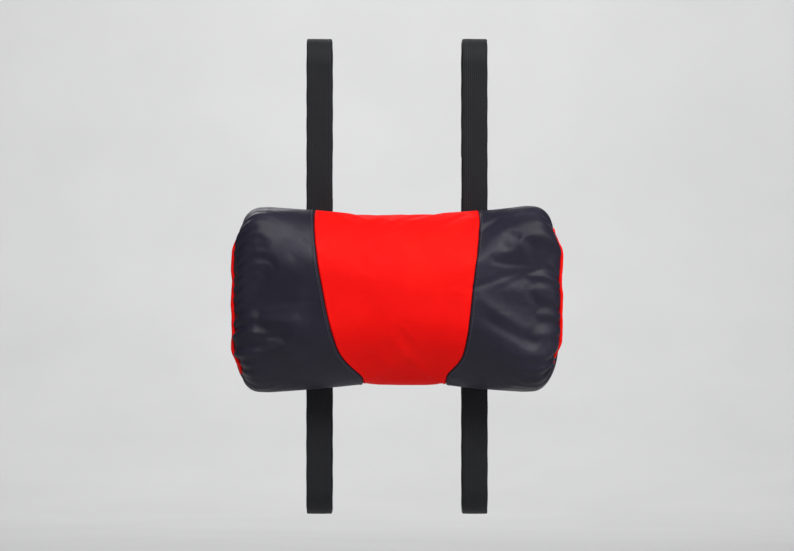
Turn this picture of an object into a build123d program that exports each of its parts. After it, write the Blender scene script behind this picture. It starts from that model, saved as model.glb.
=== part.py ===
from build123d import *
import math
import os

# Lumbar support cushion, stored as it hangs on a backrest. mm, +Z up, front faces -Y.
# The origin is the centre of the cushion's flat back, on the plane that touches the backrest.

os.makedirs("parts", exist_ok=True)

# ---------------------------------------------------------------- driving dimensions
COVER_T = 1.4          # cover fabric with its foam backing
LINER_T = 0.8
BACK_GAP = 4.6         # room for the zipper between back cover and liner
HALF_X = 159.5         # half length of the fabric body
END_Z = 92.5           # half height near the ends
MID_Z = 84.5           # half height at the waist
DEPTH = 95.0
CORNER_R = 20.0        # corners in the front view
FRONT_R, BACK_R = 36.0, 15.0
X_DOME = 165.4         # outermost point of an end panel
CAP_Y, CAP_D, CAP_H, CAP_R = -44.0, 52.0, 138.0, 24.0
PIPE_R = 1.7
# centre panel's left and right edges at the front: (z, x)
PANEL_LEFT = [(130, -84.5), (92.5, -84.5), (66, -83.5), (46, -81.2), (26, -78.5), (5.6, -74.8), (-14.6, -70.3), (-28, -66.8),
              (-41.6, -62.2), (-55, -55.8), (-66.6, -48.5), (-75.4, -42.0), (-90, -37.5), (-130, -37.5)]
PANEL_RIGHT = [(130, 81.2), (92.5, 81.2), (66, 79.0), (46, 76.6), (26, 74.1), (5.6, 71.8), (-14.6, 69.6), (-35, 67.0),
               (-55, 64.0), (-66, 61.6), (-74.5, 57.5), (-80, 53.5), (-90, 51.5), (-130, 51.5)]
ZIP_Z = -34.0
ZIP_SLOT = 10.4
ZIP_HALF = 124.0
STRAP_X = 79.4
STRAP_W = 25.4
STRAP_T = 1.5
REST_Y = 94.5          # centre plane of webbing and buckles behind the backrest
TOP_Z = 267.2
BOT_Z = -217.2
BEND_R = 27.0
ANCHOR_Z = 50.0        # inner end of the sewn-down strap ends
BUCKLE_Z = 50.0        # mouth of the socket
GLIDE_Z = -75.0


def save(part, name):
    part.label = name
    export_step(part, "parts/" + name + ".step")


# ---------------------------------------------------------------- cushion body
def body(inset):
    """The waisted body, inset all round."""
    hx, ze, zm = HALF_X - inset, END_Z - inset, MID_Z - inset
    with BuildPart() as made:
        with BuildSketch(Plane.XZ.offset(inset)) as front:
            with BuildLine():
                ThreePointArc((-hx, ze), (0, zm), (hx, ze))
                Line((hx, ze), (hx, -ze))
                ThreePointArc((hx, -ze), (0, -zm), (-hx, -ze))
                Line((-hx, -ze), (-hx, ze))
            make_face()
            fillet(front.vertices(), CORNER_R - inset)
        extrude(amount=DEPTH - 2 * inset)
        fillet(made.faces().sort_by(Axis.Y)[0].edges(), FRONT_R - inset)
        fillet(made.faces().sort_by(Axis.Y)[-1].edges(), BACK_R - inset)
    return made.part


def dome(side, inset, x0):
    """A shallow pad that fills the end opening."""
    with BuildPart() as made:
        with BuildSketch(Plane.YZ.offset(side * x0)):
            with Locations((CAP_Y, 0)):
                RectangleRounded(CAP_D - 2 * inset, CAP_H - 2 * inset, CAP_R - inset)
        extrude(amount=side * (X_DOME - inset - x0))
        fillet(made.faces().sort_by(Axis.X)[-1 if side > 0 else 0].edges(), 4.6 - inset)
    return made.part


def box(x0, x1, y0, y1, z0, z1):
    return Pos((x0 + x1) / 2, (y0 + y1) / 2, (z0 + z1) / 2) * Box(x1 - x0, y1 - y0, z1 - z0)


outer = body(0)
shell = outer - body(COVER_T)
liner_out = body(COVER_T + 0.02) - box(-200, 200, -COVER_T - BACK_GAP, 60, -150, 150)
liner_in = body(COVER_T + 0.02 + LINER_T) - box(-200, 200, -COVER_T - BACK_GAP - LINER_T, 60, -150, 150)
fill_out = body(COVER_T + 0.04 + LINER_T) - box(-200, 200, -COVER_T - BACK_GAP - LINER_T - 0.02, 60, -150, 150)

# strap ends lie pressed into the back cover, flush with it
strap_beds = [box(s * STRAP_X - STRAP_W / 2, s * STRAP_X + STRAP_W / 2, -STRAP_T, 1, k * ANCHOR_Z if k > 0 else -200, 200 if k > 0 else k * ANCHOR_Z)
              for s in (-1, 1) for k in (-1, 1)]
strap_trays = [box(s * STRAP_X - STRAP_W / 2 - COVER_T, s * STRAP_X + STRAP_W / 2 + COVER_T, -STRAP_T - COVER_T, 0,
                   (ANCHOR_Z - COVER_T) if k > 0 else -200, 200 if k > 0 else -(ANCHOR_Z - COVER_T))
               for s in (-1, 1) for k in (-1, 1)]

# piping cord round each end panel
pipes = {}
caps = {}
for side, word in ((-1, "left"), (1, "right")):
    with BuildPart() as pipe:
        with BuildLine(Plane.YZ.offset(side * (HALF_X + 0.4))) as ring:
            hy, hz, r = CAP_D / 2, CAP_H / 2, CAP_R
            Line((CAP_Y - hy, -hz + r), (CAP_Y - hy, hz - r))
            RadiusArc((CAP_Y - hy, hz - r), (CAP_Y - hy + r, hz), r)
            Line((CAP_Y - hy + r, hz), (CAP_Y + hy - r, hz))
            RadiusArc((CAP_Y + hy - r, hz), (CAP_Y + hy, hz - r), r)
            Line((CAP_Y + hy, hz - r), (CAP_Y + hy, -hz + r))
            RadiusArc((CAP_Y + hy, -hz + r), (CAP_Y + hy - r, -hz), r)
            Line((CAP_Y + hy - r, -hz), (CAP_Y - hy + r, -hz))
            RadiusArc((CAP_Y - hy + r, -hz), (CAP_Y - hy, -hz + r), r)
        with BuildSketch(Plane(origin=(side * (HALF_X + 0.4), CAP_Y - hy, 0), z_dir=(0, 0, 1), x_dir=(1, 0, 0))):
            Circle(PIPE_R)
        sweep(path=ring.line)
    pipes[word] = pipe.part
    caps[word] = dome(side, 0, 140.0)
    save(pipe.part, "end_piping_" + word)

for word in pipes:
    shell = shell - caps[word] - pipes[word]
front_shell = shell - box(-200, 200, -COVER_T, 5, -150, 150)
for b in strap_beds + strap_trays:
    front_shell = front_shell - b

with BuildPart() as centre_region:
    with BuildSketch(Plane.XZ.offset(-5)):
        with BuildLine():
            right = [(x, z) for z, x in PANEL_RIGHT]
            left = [(x, z) for z, x in PANEL_LEFT]
            Spline(*right[1:-1])
            Line(right[1], right[0])
            Line(right[0], left[0])
            Line(left[0], left[1])
            Spline(*left[1:-1])
            Line(left[-2], left[-1])
            Line(left[-1], right[-1])
            Line(right[-1], right[-2])
        make_face()
    extrude(amount=120)

cover_front_centre = front_shell & centre_region.part
sides = front_shell - centre_region.part
cover_front_left = sides & box(-200, 0, -120, 5, -150, 150)
cover_front_right = sides & box(0, 200, -120, 5, -150, 150)
save(cover_front_centre, "cover_front_centre")
save(cover_front_left, "cover_front_left")
save(cover_front_right, "cover_front_right")

# back cover: two halves either side of the zipper
back = outer & box(-200, 200, -COVER_T, 5, -150, 150)
tray_keep = outer & box(-200, 200, -STRAP_T - COVER_T, 5, -150, 150)
for t in strap_trays:
    back = back + (t & tray_keep)
for b in strap_beds:
    back = back - b
slot = box(-ZIP_HALF, ZIP_HALF, -10, 5, ZIP_Z - ZIP_SLOT / 2, ZIP_Z + ZIP_SLOT / 2)
back = back - slot
cover_back_upper = back & box(-200, 200, -10, 5, ZIP_Z, 150)
cover_back_lower = back & box(-200, 200, -10, 5, -150, ZIP_Z)
save(cover_back_upper, "cover_back_upper")
save(cover_back_lower, "cover_back_lower")

# end panels: a dome outside, its edge tucked in behind the piping
for side, word in ((-1, "left"), (1, "right")):
    cap = (dome(side, 0.01, 155.0) - dome(side, COVER_T, 150.0)) - pipes[word]
    cap = cap.solids().sort_by(Axis.X)[-1 if side > 0 else 0]
    save(cap, "end_panel_" + word)

# liner bag and filling
inner_liner = liner_out - liner_in
fibre_fill = fill_out
for side, word in ((-1, "left"), (1, "right")):
    hole = dome(side, -0.02, 150.0)
    inner_liner = inner_liner - hole - pipes[word]
    fibre_fill = fibre_fill - (dome(side, -0.02, 155.0) - dome(side, COVER_T + 0.02, 140.0)) - pipes[word]
    fibre_fill = fibre_fill + dome(side, COVER_T + 0.6, 140.0)
save(inner_liner, "inner_liner")
save(fibre_fill, "fibre_fill")

# ---------------------------------------------------------------- zipper
TAPE_T, TAPE_W, TOOTH_W, TOOTH_T = 0.6, 14.0, 2.9, 2.0
TAPE_Y = -COVER_T - TAPE_T
for name, s in (("upper", 1), ("lower", -1)):
    with BuildPart() as tape:
        with Locations((0, TAPE_Y + TAPE_T / 2, ZIP_Z + s * (0.35 + TAPE_W / 2))):
            Box(2 * ZIP_HALF + 12, TAPE_T, TAPE_W)
        # folded selvedge that carries the coil
        with Locations((0, TAPE_Y + TAPE_T / 2, ZIP_Z + s * 0.75)):
            Box(2 * ZIP_HALF + 12, TAPE_T, 0.8)
    save(tape.part, "zipper_tape_" + name)

TOOTH_PITCH = 4.0
count = int(2 * (ZIP_HALF - 5) / TOOTH_PITCH)
with BuildPart() as chain:
    for s in (-1, 1):
        with Locations((0, TAPE_Y + TAPE_T + 0.35, ZIP_Z + s * 0.98)):
            Box(2 * (ZIP_HALF - 3), 0.7, 1.24)
        with Locations(*[(-(count - 1) * TOOTH_PITCH / 2 + i * TOOTH_PITCH, TAPE_Y + TAPE_T + 0.65, ZIP_Z + s * (0.36 + TOOTH_W) / 2) for i in range(count)]):
            Box(2.4, 1.1, TOOTH_W - 0.36)
save(chain.part, "zipper_chain")

with BuildPart() as stops:
    for x in (-(ZIP_HALF - 1.6), ZIP_HALF - 1.6):
        with Locations((x, TAPE_Y + TAPE_T + 0.75, ZIP_Z)):
            Box(2.2, 1.5, 7.0)
save(stops.part, "zipper_stops")

SL_X = 113.0           # slider closed, at the right-hand end
SL_L, SL_W = 10.5, 9.4
SL_TOP = TAPE_Y + TAPE_T + 1.25
PULL_Y = SL_TOP + 1.70
with BuildPart() as slider:
    # two plates joined by a wedge post; the chain runs through between them
    with BuildSketch(Plane.XZ.offset(-(SL_TOP + 0.05))):
        with Locations((SL_X, ZIP_Z)):
            RectangleRounded(SL_L, SL_W, 2.6)
    extrude(amount=-1.1)
    with BuildSketch(Plane.XZ.offset(-(TAPE_Y - 0.1))):
        with Locations((SL_X, ZIP_Z)):
            RectangleRounded(SL_L, SL_W, 2.6)
    extrude(amount=1.0)
    # side rails turn in from the upper plate
    for s in (-1, 1):
        with Locations((SL_X, SL_TOP - 0.15, ZIP_Z + s * (SL_W / 2 - 0.45))):
            Box(SL_L - 5.2, 0.5, 0.9)
    # post at the leading end
    with Locations((SL_X + SL_L / 2 - 1.2, (SL_TOP + TAPE_Y) / 2, ZIP_Z)):
        Box(1.8, SL_TOP - TAPE_Y + 0.5, 0.56)
    # arch for the pull
    for dx in (-2.6, 2.6):
        with Locations((SL_X + dx, PULL_Y + 0.05, ZIP_Z)):
            Box(1.2, 1.3, 2.4)
    with Locations((SL_X, PULL_Y + 0.85, ZIP_Z)):
        Box(6.4, 0.6, 2.4)
save(slider.part, "zipper_slider")

# pull: a cross bar under the arch, two arms and a flat tab
with BuildPart() as pull:
    with BuildSketch(Plane.XZ.offset(-(PULL_Y - 0.45))):
        with Locations((SL_X - 15.0, ZIP_Z)):
            RectangleRounded(20.0, 6.4, 2.4)
        with Locations((SL_X - 21.5, ZIP_Z)):
            Circle(1.4, mode=Mode.SUBTRACT)
        for s in (-1, 1):
            with Locations((SL_X - 3.2, ZIP_Z + s * 2.2)):
                Rectangle(6.4, 1.0)
    extrude(amount=-0.9)
    with BuildSketch(Plane.XY.offset(ZIP_Z - 2.7)):
        with Locations((SL_X, PULL_Y)):
            Circle(0.45)
    extrude(amount=5.4)
save(pull.part, "zipper_pull")


# ---------------------------------------------------------------- webbing
def run(points, radii):
    """Straights and arcs of a flat band's middle line in the YZ plane: a list of (start, end, centre or None)."""
    pts = [Vector(p[0], p[1]) for p in points]
    out, start = [], pts[0]
    for i in range(1, len(pts) - 1):
        a, b = (pts[i] - pts[i - 1]).normalized(), (pts[i + 1] - pts[i]).normalized()
        turn = math.acos(max(-1, min(1, a.dot(b))))
        cut = radii[i - 1] * math.tan(turn / 2)
        t0, t1 = pts[i] - a * cut, pts[i] + b * cut
        left = a.X * b.Y - a.Y * b.X > 0
        n = Vector(-a.Y, a.X) if left else Vector(a.Y, -a.X)
        out.append((start, t0, None, None))
        out.append((t0, t1, t0 + n * radii[i - 1], left))
        start = t1
    out.append((start, pts[-1], None, None))
    return out


def band_edge(segments, off):
    """The band's edge, off to the left of its middle line, as (start, middle or None, end)."""
    out = []
    for p, q, c, left in segments:
        if c is None:
            d = (q - p).normalized()
            n = Vector(-d.Y, d.X) * off
            out.append((p + n, None, q + n))
        else:
            def push(v):
                r = (v - c)
                return c + r.normalized() * (r.length - off if left else r.length + off)
            mid = c + ((p - c) + (q - c)).normalized() * (p - c).length
            out.append((push(p), push(mid), push(q)))
    return out


def band(points, radii, t, w, x):
    segments = run(points, radii)
    one, two = band_edge(segments, t / 2), band_edge(segments, -t / 2)
    with BuildPart() as made:
        with BuildSketch(Plane.YZ.offset(x - w / 2)):
            with BuildLine():
                for edges in (one, two):
                    for p, m, q in edges:
                        if m is None:
                            Line((p.X, p.Y), (q.X, q.Y))
                        else:
                            ThreePointArc((p.X, p.Y), (m.X, m.Y), (q.X, q.Y))
                Line((one[0][0].X, one[0][0].Y), (two[0][0].X, two[0][0].Y))
                Line((one[-1][2].X, one[-1][2].Y), (two[-1][2].X, two[-1][2].Y))
            make_face()
        extrude(amount=w)
    return made.part


FRONT_Y = -STRAP_T / 2
ELASTIC_TOP = 150.0        # seam between webbing and elastic
PLUG_BAR_Z = BUCKLE_Z + 17.5
SOCK_BAR_Z = BUCKLE_Z - 31.0
BAR_R = 1.6
LOOP_R = BAR_R + 0.1 + STRAP_T / 2   # middle line of webbing wrapped on a bar
OUT_Y = REST_Y + LOOP_R    # strand behind the bar
IN_Y = REST_Y - LOOP_R     # strand between bar and backrest

for side, word in ((-1, "left"), (1, "right")):
    x = side * STRAP_X
    strap_upper = band([(FRONT_Y, ANCHOR_Z), (FRONT_Y, TOP_Z), (IN_Y, TOP_Z), (IN_Y, ELASTIC_TOP)],
                       [BEND_R, BEND_R], STRAP_T, STRAP_W, x)
    save(strap_upper, "strap_upper_" + word)
    # elastic lies on the outside of the webbing's end and runs down to the plug's loop
    ey = IN_Y + STRAP_T + 0.02
    elastic = band([(ey, ELASTIC_TOP + 22), (ey, PLUG_BAR_Z + 26.0)], [], STRAP_T, STRAP_W - 0.4, x)
    save(elastic, "strap_elastic_" + word)
    # short doubled loop round the plug's bar, sewn to the elastic's end
    loop = band([(IN_Y, PLUG_BAR_Z + 40), (IN_Y, PLUG_BAR_Z - LOOP_R), (OUT_Y, PLUG_BAR_Z - LOOP_R), (OUT_Y, PLUG_BAR_Z + 24.5)],
                [LOOP_R - 0.01, LOOP_R - 0.01], STRAP_T, STRAP_W, x)
    save(loop, "plug_loop_" + word)

    lower = band([(FRONT_Y, -ANCHOR_Z), (FRONT_Y, BOT_Z), (OUT_Y, BOT_Z), (OUT_Y, SOCK_BAR_Z + LOOP_R),
                  (IN_Y, SOCK_BAR_Z + LOOP_R), (IN_Y, SOCK_BAR_Z - 10)],
                 [BEND_R, BEND_R, LOOP_R - 0.01, LOOP_R - 0.01], STRAP_T, STRAP_W, x)
    save(lower, "strap_lower_" + word)
    ret = band([(IN_Y, SOCK_BAR_Z - 10.02), (IN_Y, GLIDE_Z + 22.0)], [], STRAP_T, STRAP_W, x)
    save(ret, "strap_return_" + word)
    turn = 1.65
    glide_loop = band([(IN_Y, GLIDE_Z + 21.98), (IN_Y, GLIDE_Z - 4.9), (IN_Y + 2 * turn, GLIDE_Z - 4.9), (IN_Y + 2 * turn, GLIDE_Z + 19)],
                      [turn - 0.01, turn - 0.01], STRAP_T, STRAP_W, x)
    save(glide_loop, "glide_loop_" + word)

    # ------------------------------------------------ tri-glide: end bars outside the strap, middle bar inside it
    with BuildPart() as glide:
        for s in (-1, 1):
            with Locations((x + s * 14.85, (IN_Y - 0.7 + OUT_Y + 3.05) / 2, GLIDE_Z)):
                Box(3.1, OUT_Y + 3.05 - IN_Y + 0.7, 24.0)
        fillet(glide.edges().filter_by(Axis.X), 2.2)
        for dz in (-9.8, 9.8):
            with Locations((x, OUT_Y + 1.95, GLIDE_Z + dz)):
                Box(30.0, 2.2, 4.2)
        with Locations((x, IN_Y + turn, GLIDE_Z + 0.2)):
            Box(27.2, 1.5, 6.0)
    save(glide.part, "triglide_" + word)

    # ------------------------------------------------ buckle socket: flat tube with side windows and a webbing bar
    HALF_W, THICK, CAV_W, CAV_T = 17.0, 9.4, 14.2, 5.6
    BODY_Z0 = SOCK_BAR_Z + 7.0
    with BuildPart() as socket:
        with BuildSketch(Plane.XZ.offset(-(REST_Y - THICK / 2))):
            with Locations((x, (BODY_Z0 + BUCKLE_Z) / 2)):
                RectangleRounded(2 * HALF_W, BUCKLE_Z - BODY_Z0, 3.0)
        extrude(amount=-THICK)
        fillet(socket.faces().sort_by(Axis.Y)[0].edges() + socket.faces().sort_by(Axis.Y)[-1].edges(), 1.6)
        with Locations((x, REST_Y, (BODY_Z0 + 2.5 + BUCKLE_Z + 5) / 2)):
            Box(2 * CAV_W, CAV_T, BUCKLE_Z + 5 - BODY_Z0 - 2.5, mode=Mode.SUBTRACT)
        for s in (-1, 1):
            with Locations((x + s * 16.0, REST_Y, BUCKLE_Z - 14.0)):
                Box(8.0, 6.6, 10.4, mode=Mode.SUBTRACT)
            with Locations((x + s * 14.9, REST_Y, (SOCK_BAR_Z - 1.6 + BODY_Z0 + 2) / 2)):
                Box(3.0, 6.0, BODY_Z0 + 2 - SOCK_BAR_Z + 1.6)
        with BuildSketch(Plane.YZ.offset(x - 15)):
            with Locations((REST_Y, SOCK_BAR_Z)):
                Circle(BAR_R)
        extrude(amount=30)
    save(socket.part, "buckle_socket_" + word)

    # ------------------------------------------------ buckle plug: webbing bar, shoulder and middle tongue
    PIV_X, PIV_Z = 9.5, BUCKLE_Z + 2.2
    with BuildPart() as plug:
        with BuildSketch(Plane.XZ.offset(-(REST_Y - THICK / 2))):
            with Locations((x, BUCKLE_Z + 5.65)):
                RectangleRounded(2 * HALF_W, 11.1, 3.0)
        extrude(amount=-THICK)
        fillet(plug.faces().sort_by(Axis.Y)[0].edges() + plug.faces().sort_by(Axis.Y)[-1].edges(), 1.6)
        for s in (-1, 1):
            with Locations((x + s * 14.9, REST_Y, (BUCKLE_Z + 9 + PLUG_BAR_Z + 1.6) / 2)):
                Box(3.0, 6.0, PLUG_BAR_Z + 1.6 - BUCKLE_Z - 9)
        with BuildSketch(Plane.YZ.offset(x - 15)):
            with Locations((REST_Y, PLUG_BAR_Z)):
                Circle(BAR_R)
        extrude(amount=30)
        with Locations((x, REST_Y, BUCKLE_Z - 8.0)):
            Box(6.4, 3.0, 18.0)
        for s in (-1, 1):
            # seat of each arm's root, open downwards
            with BuildSketch(Plane.XZ.offset(-(REST_Y - 2.55))):
                with Locations((x + s * PIV_X, PIV_Z)):
                    Circle(1.56)
                with BuildLine():
                    Polyline((x + s * (PIV_X + 1.5), PIV_Z), (x + s * (PIV_X + 1.5), PIV_Z - 3.0), (x + s * (PIV_X - 2.2), PIV_Z - 3.0),
                             (x + s * (PIV_X - 1.5), PIV_Z), (x + s * (PIV_X + 1.5), PIV_Z))
                make_face()
            extrude(amount=-5.1, mode=Mode.SUBTRACT)
    save(plug.part, "buckle_plug_" + word)

    for s, which in ((-1, "a"), (1, "b")):
        with BuildPart() as arm:
            with BuildSketch(Plane.XZ.offset(-(REST_Y - 2.45))):
                with Locations((x + s * PIV_X, PIV_Z)):
                    Circle(1.5)
                with BuildLine():
                    Polyline((x + s * (PIV_X - 1.1), PIV_Z), (x + s * (PIV_X + 1.1), PIV_Z), (x + s * (PIV_X + 1.3), PIV_Z - 11.0),
                             (x + s * 15.4, PIV_Z - 11.4), (x + s * 16.5, PIV_Z - 15.0), (x + s * 16.3, PIV_Z - 18.0),
                             (x + s * 13.4, PIV_Z - 21.2), (x + s * 10.6, PIV_Z - 21.2), (x + s * (PIV_X - 1.1), PIV_Z))
                make_face()
            extrude(amount=-4.9)
        save(arm.part, "latch_arm_" + word + "_" + which)
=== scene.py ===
import bpy, bmesh, math
import numpy as np
from mathutils import Vector, Matrix


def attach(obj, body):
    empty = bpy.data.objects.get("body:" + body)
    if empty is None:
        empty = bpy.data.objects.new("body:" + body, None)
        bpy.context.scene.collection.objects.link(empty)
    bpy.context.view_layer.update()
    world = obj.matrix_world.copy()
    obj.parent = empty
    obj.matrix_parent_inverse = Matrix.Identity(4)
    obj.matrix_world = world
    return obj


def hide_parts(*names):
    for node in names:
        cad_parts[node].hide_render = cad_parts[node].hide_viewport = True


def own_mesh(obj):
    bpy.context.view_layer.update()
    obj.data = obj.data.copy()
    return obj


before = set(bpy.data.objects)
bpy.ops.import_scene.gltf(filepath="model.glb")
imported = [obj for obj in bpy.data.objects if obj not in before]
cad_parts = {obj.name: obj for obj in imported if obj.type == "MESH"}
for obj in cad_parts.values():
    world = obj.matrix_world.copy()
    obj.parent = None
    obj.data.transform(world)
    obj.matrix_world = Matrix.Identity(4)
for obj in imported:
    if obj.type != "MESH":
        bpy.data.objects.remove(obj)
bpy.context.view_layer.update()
rng = np.random.default_rng(11)
scene = bpy.context.scene
MM = 0.001

# =====================================================================================================
# materials
# =====================================================================================================
class N:
    """A small helper for wiring procedural materials."""
    def __init__(self, name):
        self.m = bpy.data.materials.new(name)
        self.m.use_nodes = True
        self.t = self.m.node_tree
        self.b = self.t.nodes["Principled BSDF"]
        self.co = self.t.nodes.new("ShaderNodeTexCoord").outputs["Object"]

    def new(self, kind, **values):
        n = self.t.nodes.new(kind)
        for k, v in values.items():
            setattr(n, k, v)
        return n

    def link(self, a, b):
        self.t.links.new(a, b)

    def math(self, op, a, b=None, c=None, clamp=False):
        n = self.new("ShaderNodeMath", operation=op, use_clamp=clamp)
        for i, v in enumerate((a, b, c)):
            if v is None:
                continue
            if isinstance(v, (int, float)):
                n.inputs[i].default_value = v
            else:
                self.link(v, n.inputs[i])
        return n.outputs[0]

    def xyz(self):
        s = self.new("ShaderNodeSeparateXYZ")
        self.link(self.co, s.inputs[0])
        return s.outputs

    def noise(self, scale, detail=2.0, rough=0.5, stretch=None, distortion=0.0):
        n = self.new("ShaderNodeTexNoise")
        n.inputs["Scale"].default_value = scale
        n.inputs["Detail"].default_value = detail
        n.inputs["Roughness"].default_value = rough
        n.inputs["Distortion"].default_value = distortion
        src = self.co
        if stretch:
            m = self.new("ShaderNodeMapping")
            m.inputs["Scale"].default_value = stretch
            self.link(self.co, m.inputs["Vector"])
            src = m.outputs[0]
        self.link(src, n.inputs["Vector"])
        return n.outputs["Fac"]

    def ramp(self, fac, stops):
        r = self.new("ShaderNodeValToRGB")
        e = r.color_ramp.elements
        while len(e) > 1:
            e.remove(e[-1])
        e[0].position, e[0].color = stops[0][0], (*stops[0][1], 1)
        for p, c in stops[1:]:
            x = e.new(p)
            x.color = (*c, 1)
        self.link(fac, r.inputs[0])
        return r.outputs[0]

    def bump(self, height, strength, distance, before=None):
        b = self.new("ShaderNodeBump")
        b.inputs["Strength"].default_value = strength
        b.inputs["Distance"].default_value = distance
        self.link(height, b.inputs["Height"])
        if before is not None:
            self.link(before, b.inputs["Normal"])
        return b.outputs[0]

    def set(self, **values):
        for k, v in values.items():
            self.b.inputs[k.replace("_", " ")].default_value = v


def satin(name, dark, mid, light, rough, sheen, sheen_tint, weave=0.00042, soft=0.35, spec=0.5):
    """Satin weave: fine diagonal twill threads, slubs, soft creases and slow colour drift."""
    k = N(name)
    x, y, z = k.xyz()
    drift = k.noise(14.0, 3.0, 0.6)
    slub = k.noise(220.0, 2.0, 0.5, (1.0, 1.0, 5.0))
    mixed = k.math("ADD", k.math("MULTIPLY", drift, 0.75), k.math("MULTIPLY", slub, 0.25))
    k.link(k.ramp(mixed, [(0.30, dark), (0.52, mid), (0.72, light)]), k.b.inputs["Base Color"])
    # twill: two thread directions crossing at the weave's pitch
    w = 2 * math.pi / weave
    u = k.math("ADD", x, y)
    a = k.math("SINE", k.math("MULTIPLY", k.math("ADD", u, k.math("MULTIPLY", z, 0.5)), w))
    b = k.math("SINE", k.math("MULTIPLY", k.math("SUBTRACT", z, k.math("MULTIPLY", u, 0.25)), w * 1.7))
    threads = k.math("ADD", k.math("MULTIPLY", a, 0.6), k.math("MULTIPLY", b, 0.4))
    fine = k.bump(threads, 0.22, 0.00006)
    fuzz = k.bump(k.noise(1500.0, 2.0, 0.6), 0.18, 0.0002, fine)
    crease = k.bump(k.noise(26.0, 3.0, 0.45, (1.0, 1.0, 0.7), 0.6), soft, 0.0022, fuzz)
    k.link(crease, k.b.inputs["Normal"])
    k.link(k.math("MULTIPLY_ADD", k.noise(60.0, 2.0), 0.10, rough - 0.05), k.b.inputs["Roughness"])
    k.set(Sheen_Weight=sheen, Sheen_Roughness=0.35)
    k.b.inputs["Sheen Tint"].default_value = (*sheen_tint, 1)
    k.b.inputs["Specular IOR Level"].default_value = spec
    return k.m


M_RED = satin("centre_satin", (0.84, 0.0025, 0.0018), (0.92, 0.004, 0.0025), (0.97, 0.009, 0.004), 0.66, 0.0, (1.0, 0.35, 0.2), soft=0.10, spec=0.10)
M_DARK = satin("side_satin", (0.0080, 0.0070, 0.0160), (0.0125, 0.0112, 0.0245), (0.0200, 0.0182, 0.0380), 0.46, 0.05, (0.72, 0.75, 1.0), soft=0.55, spec=0.30)
M_BACK = satin("back_fabric", (0.0080, 0.0072, 0.0145), (0.0112, 0.0102, 0.0200), (0.0165, 0.0152, 0.0290), 0.52, 0.06, (0.7, 0.72, 0.9), soft=0.30, spec=0.30)


def liner_mat():
    k = N("liner_nonwoven")
    k.link(k.ramp(k.noise(500.0, 3.0, 0.7), [(0.35, (0.66, 0.66, 0.64)), (0.65, (0.80, 0.80, 0.78))]), k.b.inputs["Base Color"])
    k.link(k.bump(k.noise(900.0, 2.0), 0.4, 0.0002), k.b.inputs["Normal"])
    k.set(Roughness=0.85)
    return k.m


def fibre_mat():
    k = N("polyester_fibre")
    k.link(k.ramp(k.noise(160.0, 4.0, 0.7, (1, 1, 4)), [(0.3, (0.76, 0.76, 0.74)), (0.7, (0.88, 0.88, 0.87))]), k.b.inputs["Base Color"])
    k.link(k.bump(k.noise(420.0, 4.0, 0.7, (1, 1, 4)), 0.8, 0.0012), k.b.inputs["Normal"])
    k.set(Roughness=0.95, Sheen_Weight=0.4)
    return k.m


def webbing_mat(name, lo, hi, pitch, elastic=False):
    """Woven webbing: lengthwise ribs across the width, and a short herringbone of weft along it."""
    k = N(name)
    x, y, z = k.xyz()
    # distance along the loop, which turns the other way at each corner
    turn = k.math("MULTIPLY", k.math("SIGN", z), k.math("SIGN", k.math("SUBTRACT", 0.0465, y)))
    along = k.math("ADD", z, k.math("MULTIPLY", y, turn))
    rib = k.math("COSINE", k.math("MULTIPLY", x, 2 * math.pi / pitch))
    vee = k.math("ABSOLUTE", k.math("SINE", k.math("MULTIPLY", x, math.pi / pitch)))
    weft = k.math("SINE", k.math("MULTIPLY", k.math("ADD", along, k.math("MULTIPLY", vee, 0.0007)), 2 * math.pi / (0.0011 if elastic else 0.0015)))
    fuzz = k.noise(1400.0, 2.0, 0.6)
    tone = k.math("ADD", k.math("MULTIPLY", rib, 0.16), k.math("ADD", k.math("MULTIPLY", weft, 0.10), k.math("MULTIPLY", fuzz, 0.9)))
    k.link(k.ramp(tone, [(0.12, lo), (0.78, hi)]), k.b.inputs["Base Color"])
    h = k.math("ADD", k.math("MULTIPLY", rib, 0.6), k.math("MULTIPLY", weft, 0.4))
    n = k.bump(h, 0.75, 0.00022)
    k.link(k.bump(fuzz, 0.3, 0.00015, n), k.b.inputs["Normal"])
    k.link(k.math("MULTIPLY_ADD", fuzz, 0.2, 0.52), k.b.inputs["Roughness"])
    k.set(Sheen_Weight=0.06, Sheen_Roughness=0.4)
    k.b.inputs["Specular IOR Level"].default_value = 0.25
    return k.m


M_WEB = webbing_mat("webbing", (0.0048, 0.0054, 0.0070), (0.0150, 0.0165, 0.0205), 0.0021)
M_ELA = webbing_mat("elastic", (0.0046, 0.0050, 0.0060), (0.0135, 0.0142, 0.0165), 0.0014, True)
M_TAPE = webbing_mat("zipper_tape", (0.0050, 0.0050, 0.0062), (0.0135, 0.0135, 0.0165), 0.0009, True)


def plastic(name, base, rough):
    k = N(name)
    k.link(k.ramp(k.noise(90.0, 3.0), [(0.3, tuple(v * 0.85 for v in base)), (0.7, tuple(v * 1.25 for v in base))]), k.b.inputs["Base Color"])
    k.link(k.bump(k.noise(2600.0, 2.0, 0.6), 0.35, 0.00008), k.b.inputs["Normal"])
    k.link(k.math("MULTIPLY_ADD", k.noise(300.0, 3.0), 0.14, rough), k.b.inputs["Roughness"])
    return k.m


def enamel():
    k = N("black_enamel")
    k.link(k.ramp(k.noise(700.0, 3.0), [(0.3, (0.022, 0.022, 0.024)), (0.75, (0.05, 0.05, 0.053))]), k.b.inputs["Base Color"])
    k.link(k.bump(k.noise(900.0, 2.0), 0.15, 0.0001), k.b.inputs["Normal"])
    k.link(k.math("MULTIPLY_ADD", k.noise(400.0, 3.0), 0.2, 0.22), k.b.inputs["Roughness"])
    k.set(Metallic=0.85)
    return k.m


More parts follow.
